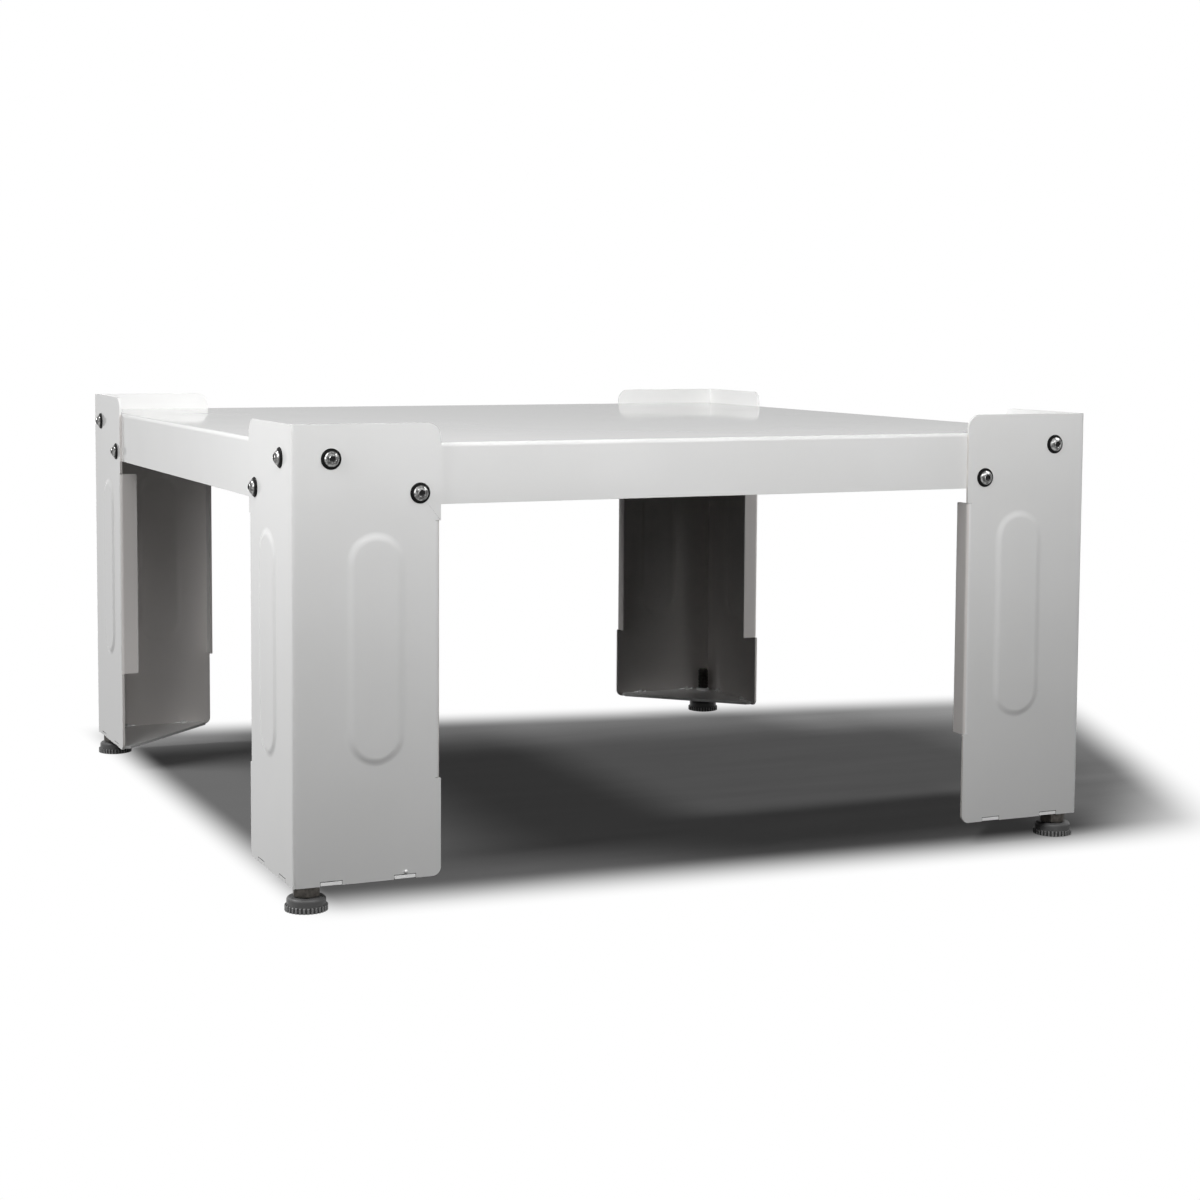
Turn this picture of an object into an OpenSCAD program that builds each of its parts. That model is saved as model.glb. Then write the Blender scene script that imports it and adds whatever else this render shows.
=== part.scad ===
// Laundry pedestal: a folded sheet deck on four folded angle legs with screw feet.
// Millimetres, +Z up, X to the right, Y to the back, origin on the floor under the middle.
// Each corner is modelled once in its own frame: the origin is the leg's outer corner,
// x and y run along its two faces into the stand, and z is the height above the floor.

/* [Stand] */
// Width over the outer faces of the legs
stand_w = 620; // [540:1:700]
// Depth over the outer faces of the legs
stand_d = 620; // [540:1:700]
// Height of the deck's top with the feet screwed right in
deck_z = 310; // [260:1:450]

/* [Deck] */
// Sheet thickness of the deck
deck_t = 2; // [1.2:0.1:3]
// Inside radius of the bend between the deck and its rails
deck_bend_in = 1; // [0.5:0.25:3]
// Height of the rails, measured from the deck's top
rail_h = 41; // [39.5:0.5:60]
// How far a rail stops short of the start of its neighbour's bend
corner_relief = 1; // [0.5:0.25:4]

/* [Deck channels] */
// Distance of each stiffening channel from the middle of the deck
channel_y = 110; // [60:1:150]
// Sheet thickness of the channels
channel_t = 1.5; // [1:0.1:2.5]
// Inside radius of the channels' bends
channel_bend_in = 1.5; // [0.5:0.25:3]
// Height of the channels
channel_h = 25; // [15:1:30]
// Width of the channels over their side walls
channel_w = 40; // [25:1:60]
// Flat width of the flanges that are welded to the deck
flange_w = 15; // [8:1:25]
// Gap between a channel's end and the start of the rail's bend
channel_end_gap = 0.5; // [0.2:0.1:4]

/* [Legs] */
// Sheet thickness of the legs
leg_t = 2; // [1.2:0.1:3]
// Inside radius of the bend along a leg's corner
leg_bend_in = 0.5; // [0.25:0.25:3]
// Width of each face from the outer corner to its free edge
face_w = 103; // [95:1:140]
// How far the legs stand above the deck as guards for the machine
guard_h = 13.5; // [6:0.5:30]
// Radius of a guard's free upper corner
guard_r = 10; // [2:0.5:14]
// Radius of a face's free lower corner
toe_r = 6; // [1:0.5:12]

/* [Return lips] */
// Height of the lips' lower end above the leg's bottom edge
lip_up = 67; // [30:1:110]
// Distance of the lips' upper end below the rails
lip_down = 11; // [4:0.5:40]
// Depth of the lips, measured from the outer face
lip_depth = 14.5; // [9:0.5:25]
// Inside radius of the lips' fold
lip_bend_in = 1; // [0.5:0.25:3]
// How far a lip's outer side lies inside the free edge
lip_step = 0.5; // [0.1:0.1:2]
// Radius of the lips' free corners
lip_r = 1; // [0.5:0.5:5]
// Height of the slits that part a lip's ends from the free edge
slot_h = 0.3; // [0.1:0.1:4]
// How far the slits reach past the fold
slot_past = 0.5; // [0.25:0.25:4]
// Radius of the sheet's corners beside the slits
slot_r = 0.6; // [0.2:0.1:3]

/* [Pressed panels] */
// Width of the pressed panel in each face
panel_w = 39; // [20:1:44]
// Distance of the panel's centre line from the outer corner
panel_u = 57.5; // [48:0.5:62]
// Height of the panel's lower end above the leg's bottom edge
panel_up = 79; // [40:1:110]
// Distance of the panel's upper end below the rails
panel_down = 18.3; // [6:0.1:50]
// How far the panel stands out of the face
panel_rise = 1.2; // [0.4:0.1:3]
// Width of the sloping border round the panel
panel_slope = 3.2; // [1:0.1:8]

/* [Face screws] */
// Diameter of the screws
screw_d = 6; // [4:0.5:6]
// Length of the screws under the head
screw_len = 12; // [11:0.5:20]
// Diameter of the screw heads
head_d = 10.5; // [9:0.1:12]
// Height of the screw heads
head_h = 3.3; // [2.8:0.1:5]
// Height of the straight rim of the screw heads
head_rim = 0.6; // [0.3:0.1:1]
// Width across the flats of the sockets
socket_af = 4; // [3:0.5:5]
// Depth of the sockets
socket_depth = 2; // [1:0.1:2.5]
// Diameter of the clearance holes for the screws
hole_d = 6.5; // [6.2:0.1:8]
// Distance of the inner screw from the outer corner
screw_in_u = 26.8; // [22:0.1:34]
// Distance of the inner screw below the deck's top
screw_in_drop = 9.3; // [9:0.1:14]
// Distance of the outer screw from the free edge
screw_out_edge = 14.7; // [9:0.1:22]
// Distance of the outer screw below the deck's top
screw_out_drop = 33; // [26:0.5:33.5]

/* [Washers and rail nuts] */
// Outside diameter of the washers under the heads
washer_d = 14; // [12:0.5:16]
// Thickness of the washers
washer_t = 1.2; // [0.6:0.1:2]
// Bore of the washers
washer_bore = 6.4; // [6.2:0.1:8]
// Width across the flats of the nuts welded inside the rails
rail_nut_af = 10; // [9:0.5:11]
// Height of the nuts welded inside the rails
rail_nut_h = 5; // [3:0.5:6]
// Radial gap between a screw and its nut
thread_gap = 0.025; // [0.01:0.005:0.1]

/* [Foot plates] */
// Thickness of the plate welded into the bottom of each leg
plate_t = 2.5; // [1.5:0.1:4]
// Height of the plate's underside above the leg's bottom edge
plate_up = 0.3; // [0.1:0.1:2]
// Gap between the plate's edges and the faces
plate_gap = 0.2; // [0.1:0.05:0.5]
// Cut across the plate's corner beside the bend
plate_chamfer = 4; // [3.5:0.5:8]
// Distance of the plate's tips from the free edges
plate_tip_edge = 6; // [3:0.5:15]
// Width of the plate's blunt tips
plate_tip_w = 6; // [2:0.5:15]
// Width of the tabs that lie in the notches of the faces
tab_w = 15; // [8:0.5:18]
// Gap at each side of a tab
tab_gap = 0.2; // [0.1:0.05:0.5]
// Gap above a tab
tab_gap_top = 0.4; // [0.1:0.1:1]
// Distance of the inner tab's middle from the outer corner
tab_in_u = 26; // [22:0.5:35]
// Distance of the outer tab's middle from the free edge
tab_out_edge = 25.5; // [20:0.5:35]
// Height of the tapped collar drawn up round the stud's hole
collar_h = 2.2; // [0.5:0.1:5]
// Wall of the tapped collar
collar_wall = 1.4; // [0.8:0.1:3]

/* [Screw feet] */
// Distance of the feet's centres from the outer faces
foot_in = 12.5; // [12.2:0.1:20]
// Diameter of the studs
stud_d = 10; // [8:0.5:12]
// Radial gap between a stud and the pieces that it screws through
stud_gap = 0.075; // [0.03:0.005:0.1]
// Height of the stud above its collar with the foot screwed in
stud_show = 19; // [6:1:40]
// Chamfer at the top of the stud
stud_chamfer = 1; // [0.25:0.25:2]
// Diameter of the stud's round head inside the base
stud_head_d = 14; // [13:0.5:18]
// Height of the stud's round head
stud_head_h = 4; // [3:0.25:5]
// Width across the flats of the lock nuts
lock_af = 17; // [15:0.5:18]
// Height of the lock nuts
lock_h = 8; // [5:0.5:12]
// Turn of the lock nuts about their studs
lock_turn = 18; // [0:1:60]
// Gap between a lock nut and the base of its foot
lock_gap = 0.3; // [0.2:0.1:1]

/* [Foot bases] */
// Height of the base's top above the floor
base_h = 10; // [9.5:0.5:16]
// Diameter of the ribbed rim over its ribs
rim_d = 29; // [28.5:0.5:40]
// Height of the rim's top above the floor
rim_top = 4.6; // [3.5:0.1:6]
// Height of the rim's underside above the floor
rim_lift = 0.6; // [0.3:0.1:1.2]
// Chamfer at the rim's upper edge
rim_chamfer = 0.4; // [0.1:0.1:0.9]
// Number of ribs round the rim
rib_count = 32; // [20:1:48]
// Height of the ribs above the rim's grooves
rib_depth = 0.6; // [0.3:0.1:0.9]
// Diameter of the base above the rim
tier_d = 26.4; // [25.4:0.1:27]
// Radius of the shoulder at the top of the base
shoulder_r = 2.2; // [0.5:0.1:3]
// Gap round the stud's head moulded into the base
head_gap = 0.05; // [0.02:0.01:0.1]

/* [Foot soles] */
// Diameter of the rubber soles
sole_d = 24; // [20:0.5:24.4]
// Thickness of the rubber soles
sole_t = 2.55; // [1.5:0.05:3]
// Gap round the sole in the base
sole_gap = 0.3; // [0.1:0.05:0.4]
// Gap between the sole's top and the base
sole_gap_top = 0.05; // [0.02:0.01:0.1]
// Chamfer at the sole's lower edge
sole_chamfer = 0.4; // [0.1:0.1:1]
// Diameter of the spigot that centres the sole in the stud
spigot_d = 6; // [4:0.5:8]
// Height of the spigot
spigot_h = 2.5; // [1:0.1:2.6]
// Radial gap between the spigot and the stud
spigot_gap = 0.05; // [0.02:0.01:0.1]

/* [Hidden] */
$fn = 64;

// Each corner: its side along X, its side along Y, and the turn of its own frame in degrees
front_left = [-1, -1, 0];
front_right = [1, -1, 90];
rear_right = [1, 1, 180];
rear_left = [-1, 1, 270];

coat_colour = [0.90, 0.90, 0.89];
steel_colour = [0.72, 0.72, 0.71];
washer_colour = [0.09, 0.09, 0.09];
zinc_colour = [0.60, 0.57, 0.52];
plastic_colour = [0.33, 0.33, 0.33];
rubber_colour = [0.13, 0.13, 0.13];

// Every cutter reaches this far past the faces that it opens
past = 1;
hex_sides = 6;
hex_round = cos(180 / hex_sides);
chamfer_angle = 30;

// The feet carry the lock nuts, and these carry the plates and the legs
leg_z0 = base_h + lock_gap + lock_h - plate_up;
leg_z1 = deck_z + guard_h;
plate_z0 = leg_z0 + plate_up;
plate_z1 = plate_z0 + plate_t;
collar_z1 = plate_z1 + collar_h;
stud_z1 = collar_z1 + stud_show;

deck_w = stand_w - 2 * leg_t;
deck_d = stand_d - 2 * leg_t;
deck_bend_out = deck_bend_in + deck_t;
rail_stop = deck_bend_out + corner_relief;
rail_z0 = deck_z - rail_h;

channel_bend_out = channel_bend_in + channel_t;
channel_len = deck_w - 2 * deck_bend_out - 2 * channel_end_gap;
channel_z1 = deck_z - deck_t;

leg_bend_out = leg_bend_in + leg_t;
lip_bend_out = lip_bend_in + leg_t;
lip_z0 = leg_z0 + lip_up;
lip_z1 = rail_z0 - lip_down;
lip_u = face_w - lip_step;
fold_u = lip_u - lip_bend_out;

panel_r = panel_w / 2;
panel_z0 = leg_z0 + panel_up + panel_r;
panel_z1 = rail_z0 - panel_down - panel_r;

screw_places = [
    [screw_in_u, deck_z - screw_in_drop],
    [face_w - screw_out_edge, deck_z - screw_out_drop]
];
tab_places = [tab_in_u, face_w - tab_out_edge];

plate_in = leg_t + plate_gap;
plate_tip_u = face_w - plate_tip_edge;

stud_bore_r = stud_d / 2 + stud_gap;
rim_r = rim_d / 2;
tier_r = tier_d / 2;
sole_room_z = sole_t + sole_gap_top;
stud_head_z1 = sole_room_z + stud_head_h;

// Children placed at a corner, in that corner's own frame
module at_corner(corner) {
    translate([corner[0] * stand_w / 2, corner[1] * stand_d / 2, 0])
        rotate([0, 0, corner[2]])
            children();
}

// Children as drawn for the face along x, and again for the face along y
module on_both_faces() {
    children();
    mirror([1, -1, 0]) children();
}

// Children at each screw of a corner, with +z pointing into the stand from the outer face
module at_screws(corner) {
    at_corner(corner)
        on_both_faces()
            for (p = screw_places)
                translate([p[0], 0, p[1]])
                    rotate([-90, 0, 0])
                        children();
}

// Children at the foot of a corner
module at_foot(corner) {
    at_corner(corner) translate([foot_in, foot_in, 0]) children();
}

// Quarter ring in the plane, from the x axis to the y axis
module quarter_ring(r_in, r_out) {
    intersection() {
        difference() {
            circle(r_out);
            circle(r_in);
        }
        square(r_out);
    }
}

// What a fillet takes off the corner of a sheet whose corner point is the origin
module corner_cut(r) {
    difference() {
        translate([-r, -r]) square(r + past);
        translate([-r, -r]) circle(r);
    }
}

// Nut of height h with both ends chamfered at its corners
module hex_nut(af, h, bore_r) {
    corner_r = af / 2 / hex_round;
    chamfer_h = (corner_r - af / 2) * tan(chamfer_angle);
    difference() {
        intersection() {
            cylinder(r = corner_r, h = h, $fn = hex_sides);
            rotate_extrude()
                polygon([
                    [0, 0], [af / 2, 0], [corner_r, chamfer_h],
                    [corner_r, h - chamfer_h], [af / 2, h], [0, h]
                ]);
        }
        translate([0, 0, -past]) cylinder(r = bore_r, h = h + 2 * past);
    }
}

// Section of the deck: a plate of width w with a rail bent down at each side
module deck_section(w) {
    flat_w = w - 2 * deck_bend_out;
    translate([-flat_w / 2, deck_z - deck_t]) square([flat_w, deck_t]);
    for (side = [0, 1])
        mirror([side, 0])
            translate([w / 2 - deck_bend_out, deck_z - deck_bend_out]) {
                quarter_ring(deck_bend_in, deck_bend_out);
                translate([deck_bend_in, deck_bend_out - rail_h])
                    square([deck_t, rail_h - deck_bend_out]);
            }
}

// Deck pressed from one sheet, with four rails and an open corner between each two
module top_deck() {
    side_len = deck_d - 2 * rail_stop;
    front_len = deck_w - 2 * rail_stop;
    color(coat_colour)
        difference() {
            union() {
                translate([0, side_len / 2, 0])
                    rotate([90, 0, 0])
                        linear_extrude(side_len) deck_section(deck_w);
                translate([-front_len / 2, 0, 0])
                    rotate([90, 0, 90])
                        linear_extrude(front_len) deck_section(deck_d);
            }
            for (corner = [front_left, front_right, rear_right, rear_left])
                at_screws(corner)
                    cylinder(d = hole_d, h = leg_t + deck_t + past);
        }
}

// Section of a stiffening channel: an open hat whose flanges lie under the deck
module channel_section() {
    side_x = channel_w / 2;
    for (side = [0, 1])
        mirror([side, 0]) {
            square([side_x - channel_bend_out, channel_t]);
            translate([side_x - channel_bend_out, channel_bend_out])
                mirror([0, 1])
                    quarter_ring(channel_bend_in, channel_bend_out);
            translate([side_x - channel_t, channel_bend_out])
                square([channel_t, channel_h - 2 * channel_bend_out]);
            translate([side_x + channel_bend_in, channel_h - channel_bend_out])
                mirror([1, 0])
                    quarter_ring(channel_bend_in, channel_bend_out);
            translate([side_x + channel_bend_in, channel_h - channel_t])
                square([flange_w, channel_t]);
        }
}

// Channel along X under the deck, in front of the middle for side -1 and behind it for 1
module deck_channel(side) {
    color(coat_colour)
        translate([-channel_len / 2, side * channel_y, channel_z1 - channel_h])
            rotate([90, 0, 90])
                linear_extrude(channel_len) channel_section();
}

// Flat outline of one face of a leg, from the end of the corner bend to the free edge
module face_outline() {
    difference() {
        translate([leg_bend_out, leg_z0])
            square([face_w - leg_bend_out, leg_z1 - leg_z0]);
        translate([face_w, leg_z1]) corner_cut(guard_r);
        translate([face_w, leg_z0]) mirror([0, 1]) corner_cut(toe_r);
        translate([fold_u, lip_z0]) square([face_w, lip_z1 - lip_z0]);
        for (z = [lip_z0 - slot_h, lip_z1])
            translate([fold_u - slot_past, z]) square([face_w, slot_h]);
        translate([face_w, lip_z0 - slot_h]) corner_cut(slot_r);
        translate([face_w, lip_z1 + slot_h]) mirror([0, 1]) corner_cut(slot_r);
        for (p = screw_places)
            translate(p) circle(d = hole_d);
        for (u = tab_places)
            translate([u - tab_w / 2 - tab_gap, leg_z0 - past])
                square([tab_w + 2 * tab_gap, plate_up + plate_t + tab_gap_top + past]);
    }
}

// Stadium with a sloping border that rises along +z from z = 0, with a straight root below
module panel_form(root) {
    section = [
        [0, -root], [panel_r, -root], [panel_r, 0],
        [panel_r - panel_slope, panel_rise], [0, panel_rise]
    ];
    translate([panel_u, panel_z1, 0])
        rotate_extrude(angle = 180) polygon(section);
    translate([panel_u, panel_z0, 0])
        rotate([0, 0, 180])
            rotate_extrude(angle = 180) polygon(section);
    translate([panel_u, panel_z1, 0])
        rotate([90, 0, 0])
            linear_extrude(panel_z1 - panel_z0)
                for (side = [0, 1])
                    mirror([side, 0]) polygon(section);
}

// Narrow return lip along the free edge: a folded quarter ring and a flat with round corners
module return_lip() {
    lip_h = lip_z1 - lip_z0;
    flat_d = lip_depth - lip_bend_out;
    translate([fold_u, lip_bend_out, lip_z0])
        linear_extrude(lip_h)
            mirror([0, 1])
                quarter_ring(lip_bend_in, lip_bend_out);
    translate([lip_u - leg_t, lip_bend_out, lip_z0])
        rotate([90, 0, 90])
            linear_extrude(leg_t)
                difference() {
                    square([flat_d, lip_h]);
                    translate([flat_d, lip_h]) corner_cut(lip_r);
                    translate([flat_d, 0]) mirror([0, 1]) corner_cut(lip_r);
                }
}

// One face of a leg, with its panel pressed outwards and its return lip folded inwards
module leg_face() {
    difference() {
        union() {
            translate([0, leg_t, 0])
                rotate([90, 0, 0])
                    linear_extrude(leg_t) face_outline();
            rotate([90, 0, 0]) panel_form(leg_t / 2);
        }
        translate([0, leg_t, 0])
            rotate([90, 0, 0]) panel_form(past);
    }
    return_lip();
}

// Leg folded from one sheet: two faces joined by the bend along the stand's corner
module leg(corner) {
    color(coat_colour)
        at_corner(corner) {
            on_both_faces() leg_face();
            translate([leg_bend_out, leg_bend_out, leg_z0])
                rotate([0, 0, 180])
                    linear_extrude(leg_z1 - leg_z0)
                        quarter_ring(leg_bend_in, leg_bend_out);
        }
}

// Triangular plate in the bottom of a leg, with four tabs and a tapped collar for the stud
module foot_plate(corner) {
    color(coat_colour) {
        at_corner(corner)
            translate([0, 0, plate_z0])
                linear_extrude(plate_t)
                    difference() {
                        union() {
                            polygon([
                                [plate_in, plate_in + plate_chamfer],
                                [plate_in + plate_chamfer, plate_in],
                                [plate_tip_u, plate_in],
                                [plate_tip_u, plate_in + plate_tip_w],
                                [plate_in + plate_tip_w, plate_tip_u],
                                [plate_in, plate_tip_u]
                            ]);
                            on_both_faces()
                                for (u = tab_places)
                                    translate([u - tab_w / 2, 0])
                                        square([tab_w, plate_in + plate_tip_w / 2]);
                        }
                        translate([foot_in, foot_in]) circle(stud_bore_r);
                    }
        at_foot(corner)
            translate([0, 0, plate_z0])
                difference() {
                    cylinder(r = stud_bore_r + collar_wall, h = collar_z1 - plate_z0);
                    translate([0, 0, -past])
                        cylinder(r = stud_bore_r, h = collar_z1 - plate_z0 + 2 * past);
                }
    }
}

// Button head screw: its head stands on the washer outside, its shank reaches through the nut
module face_screw() {
    dome_h = head_h - head_rim;
    dome_r = (pow(head_d / 2, 2) + pow(dome_h, 2)) / (2 * dome_h);
    translate([0, 0, -washer_t]) {
        cylinder(d = screw_d, h = screw_len);
        difference() {
            intersection() {
                translate([0, 0, -head_h]) cylinder(d = head_d, h = head_h);
                translate([0, 0, dome_r - head_h]) sphere(dome_r);
            }
            translate([0, 0, -head_h - past])
                cylinder(d = socket_af / hex_round, h = socket_depth + past, $fn = hex_sides);
        }
    }
}

// The four screws that hold a leg to the rails
module face_screws(corner) {
    color(steel_colour) at_screws(corner) face_screw();
}

// The four washers under the heads of those screws
module screw_washers(corner) {
    color(washer_colour)
        at_screws(corner)
            translate([0, 0, -washer_t])
                difference() {
                    cylinder(d = washer_d, h = washer_t);
                    translate([0, 0, -past])
                        cylinder(d = washer_bore, h = washer_t + 2 * past);
                }
}

// The four nuts welded to the inner side of the rails
module rail_nuts(corner) {
    color(zinc_colour)
        at_screws(corner)
            translate([0, 0, leg_t + deck_t])
                rotate([0, 0, chamfer_angle])
                    hex_nut(rail_nut_af, rail_nut_h, screw_d / 2 + thread_gap);
}

// Nut on the stud that locks the foot against the plate
module lock_nut(corner) {
    color(zinc_colour)
        at_foot(corner)
            translate([0, 0, plate_z0 - lock_h])
                rotate([0, 0, lock_turn])
                    hex_nut(lock_af, lock_h, stud_bore_r);
}

// Stud of a foot, with a round head moulded into the base and a blind bore for the sole
module foot_stud(corner) {
    color(zinc_colour)
        at_foot(corner)
            difference() {
                union() {
                    translate([0, 0, sole_room_z]) cylinder(d = stud_head_d, h = stud_head_h);
                    rotate_extrude()
                        polygon([
                            [0, sole_room_z], [stud_d / 2, sole_room_z],
                            [stud_d / 2, stud_z1 - stud_chamfer],
                            [stud_d / 2 - stud_chamfer, stud_z1], [0, stud_z1]
                        ]);
                }
                translate([0, 0, sole_room_z - past])
                    cylinder(d = spigot_d + 2 * spigot_gap, h = past + spigot_h + sole_gap_top);
            }
}

// Outline of the ribbed rim: each rib is a small trapezoid on the groove circle
function rim_outline(foot_share, land_share) = [
    for (k = [0:rib_count - 1])
        for (p = [[-foot_share, 0], [-land_share, 1], [land_share, 1], [foot_share, 0]])
            let (a = (k + p[0] / 2) * 360 / rib_count, r = rim_r - rib_depth * (1 - p[1]))
                [r * cos(a), r * sin(a)]
];

// Moulded base of a foot: a ribbed rim for the fingers and a tier with a round shoulder
module foot_base(corner) {
    rib_foot_share = 0.7;
    rib_land_share = 0.36;
    color(plastic_colour)
        at_foot(corner)
            difference() {
                union() {
                    intersection() {
                        translate([0, 0, rim_lift])
                            linear_extrude(rim_top - rim_lift)
                                polygon(rim_outline(rib_foot_share, rib_land_share));
                        rotate_extrude()
                            polygon([
                                [0, 0], [rim_r, 0], [rim_r, rim_top - rim_chamfer],
                                [rim_r - rim_chamfer, rim_top], [0, rim_top]
                            ]);
                    }
                    rotate_extrude() {
                        translate([0, rim_lift]) square([tier_r, base_h - shoulder_r - rim_lift]);
                        translate([0, rim_lift]) square([tier_r - shoulder_r, base_h - rim_lift]);
                        translate([tier_r - shoulder_r, base_h - shoulder_r])
                            intersection() {
                                circle(shoulder_r);
                                square(shoulder_r);
                            }
                    }
                }
                translate([0, 0, rim_lift - past])
                    cylinder(r = sole_d / 2 + sole_gap, h = sole_room_z - rim_lift + past);
                cylinder(d = stud_head_d + 2 * head_gap, h = stud_head_z1 + head_gap);
                cylinder(d = stud_d + 2 * head_gap, h = base_h + past);
            }
}

// Rubber sole that stays still on the floor, centred in the stud by its spigot
module foot_sole(corner) {
    color(rubber_colour)
        at_foot(corner)
            rotate_extrude()
                polygon([
                    [0, 0], [sole_d / 2 - sole_chamfer, 0], [sole_d / 2, sole_chamfer],
                    [sole_d / 2, sole_t], [spigot_d / 2, sole_t],
                    [spigot_d / 2, sole_t + spigot_h], [0, sole_t + spigot_h]
                ]);
}

top_deck();
deck_channel(-1);  // deck_channel_front
deck_channel(1);  // deck_channel_rear
leg(front_left);  // leg_front_left
leg(front_right);  // leg_front_right
leg(rear_right);  // leg_rear_right
leg(rear_left);  // leg_rear_left
foot_plate(front_left);  // foot_plate_front_left
foot_plate(front_right);  // foot_plate_front_right
foot_plate(rear_right);  // foot_plate_rear_right
foot_plate(rear_left);  // foot_plate_rear_left
face_screws(front_left);  // face_screws_front_left
face_screws(front_right);  // face_screws_front_right
face_screws(rear_right);  // face_screws_rear_right
face_screws(rear_left);  // face_screws_rear_left
screw_washers(front_left);  // screw_washers_front_left
screw_washers(front_right);  // screw_washers_front_right
screw_washers(rear_right);  // screw_washers_rear_right
screw_washers(rear_left);  // screw_washers_rear_left
rail_nuts(front_left);  // rail_nuts_front_left
rail_nuts(front_right);  // rail_nuts_front_right
rail_nuts(rear_right);  // rail_nuts_rear_right
rail_nuts(rear_left);  // rail_nuts_rear_left
lock_nut(front_left);  // lock_nut_front_left
lock_nut(front_right);  // lock_nut_front_right
lock_nut(rear_right);  // lock_nut_rear_right
lock_nut(rear_left);  // lock_nut_rear_left
foot_stud(front_left);  // foot_stud_front_left
foot_stud(front_right);  // foot_stud_front_right
foot_stud(rear_right);  // foot_stud_rear_right
foot_stud(rear_left);  // foot_stud_rear_left
foot_base(front_left);  // foot_base_front_left
foot_base(front_right);  // foot_base_front_right
foot_base(rear_right);  // foot_base_rear_right
foot_base(rear_left);  // foot_base_rear_left
foot_sole(front_left);  // foot_sole_front_left
foot_sole(front_right);  // foot_sole_front_right
foot_sole(rear_right);  // foot_sole_rear_right
foot_sole(rear_left);  // foot_sole_rear_left
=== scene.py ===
"""Laundry pedestal: finishes, fasteners, feet, welds and studio for the folded sheet-steel stand.

All lengths are in metres in the stand's own frame: +Z up, the front towards -Y, and the origin on the
floor under the middle of the deck.
"""

import math

import bmesh
import bpy
import numpy as np
from mathutils import Matrix, Vector


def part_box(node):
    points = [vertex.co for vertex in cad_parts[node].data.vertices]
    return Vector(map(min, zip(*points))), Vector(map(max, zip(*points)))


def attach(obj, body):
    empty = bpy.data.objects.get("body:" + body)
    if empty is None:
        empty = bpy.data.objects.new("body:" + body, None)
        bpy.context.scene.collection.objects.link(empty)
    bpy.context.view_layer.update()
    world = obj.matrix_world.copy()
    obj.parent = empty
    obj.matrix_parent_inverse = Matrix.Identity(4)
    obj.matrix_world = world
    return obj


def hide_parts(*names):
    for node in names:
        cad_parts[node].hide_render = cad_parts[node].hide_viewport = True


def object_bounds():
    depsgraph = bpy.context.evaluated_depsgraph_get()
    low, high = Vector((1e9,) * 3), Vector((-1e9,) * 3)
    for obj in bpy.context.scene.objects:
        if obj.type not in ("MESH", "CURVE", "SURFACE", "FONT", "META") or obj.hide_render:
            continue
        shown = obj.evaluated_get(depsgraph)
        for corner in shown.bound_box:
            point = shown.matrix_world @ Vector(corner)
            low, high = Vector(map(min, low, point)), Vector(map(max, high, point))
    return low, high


bl_info = {
    "name": "Laundry Pedestal",
    "version": (1, 0, 0),
    "blender": (4, 5, 0),
    "location": "View3D > Sidebar > Pedestal",
    "description": "Dresses the folded sheet-steel laundry pedestal and sets up its studio",
    "category": "Object",
}

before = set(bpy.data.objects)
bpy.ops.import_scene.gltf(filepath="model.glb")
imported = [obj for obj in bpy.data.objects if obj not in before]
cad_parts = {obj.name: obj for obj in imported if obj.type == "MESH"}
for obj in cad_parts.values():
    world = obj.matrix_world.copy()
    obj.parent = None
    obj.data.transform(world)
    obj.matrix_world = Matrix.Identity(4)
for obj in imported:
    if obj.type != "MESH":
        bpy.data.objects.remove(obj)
cad_low, cad_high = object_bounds()

STAND = "stand"
TURN = 2 * math.pi
HEX_SIDES = 6
UP = np.array([0.0, 0.0, 1.0])

# Angle above which an edge of a new piece is sharp, and how near a crease is to the angle looked for
SHARP_ANGLE = math.radians(32)
CREASE_MARGIN = math.radians(2.5)

# Spatter of coating on the front left leg: its distance from the corner, height, width and thickness
SPATTER = (0.0782, 0.0228, 0.0028, 0.0010)
# Channels: thickness of their sheet, width of their flanges, and spot welds' least distance from the ends
CHANNEL_T, FLANGE_W, SPOT_END = 0.0015, 0.015, 0.015

# Each corner's side along X and along Y
CORNERS = {
    "front_left": (-1, -1),
    "front_right": (1, -1),
    "rear_right": (1, 1),
    "rear_left": (-1, 1),
}
FRONT = ("front_left", "front_right")
CHANNELS = ("deck_channel_front", "deck_channel_rear")
# Pieces of one leg that the same lamps light
LEG_PIECES = ("folded_leg", "welded_plate", "weld_tacks")

# Edges of the floor's grey part, a painted shadow under the stand: a direction, and where along it the grey
# starts and is full
PAINTED_SHADOW_EDGES = (
    ((1, 0, 0), -0.312, -0.268),
    ((0.05, 1, 0), -0.352, -0.262),
    ((0.175, 1, 0), 0.394, 0.298),
    ((1, -0.42, 0), 0.606, 0.535),
    ((1, -1, 0), 0.82, 0.60),
)
# Paler places in the grey part, painted light: a brightness, and two edges like those above
PAINTED_GLOW_PATCHES = (
    (0.045, ((1, 0, 0), 0.02, 0.11), ((0, 1, 0), -0.16, -0.12)),
    (0.08, ((0.1, 1, 0), 0.15, 0.29), ((1, 0, 0), -0.12, 0.0)),
    (0.07, ((0, -1, 0), 0.18, 0.26), ((-1, 0, 0), -0.08, 0.12)),
    (0.10, ((1, 0, 0), 0.29, 0.40), ((0, -1, 0), 0.08, 0.19)),
    (0.06, ((1, 0, 0), 0.30, 0.38), ((0, 1, 0), 0.10, 0.20)),
    (0.08, ((0, 1, 0), 0.25, 0.33), ((-1, 0, 0), 0.12, 0.20)),
)


def pieces_at(kinds, corners):
    """Names of the pieces of those kinds at those corners."""
    return [f"{kind}_{corner}" for kind in kinds for corner in corners]


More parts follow.
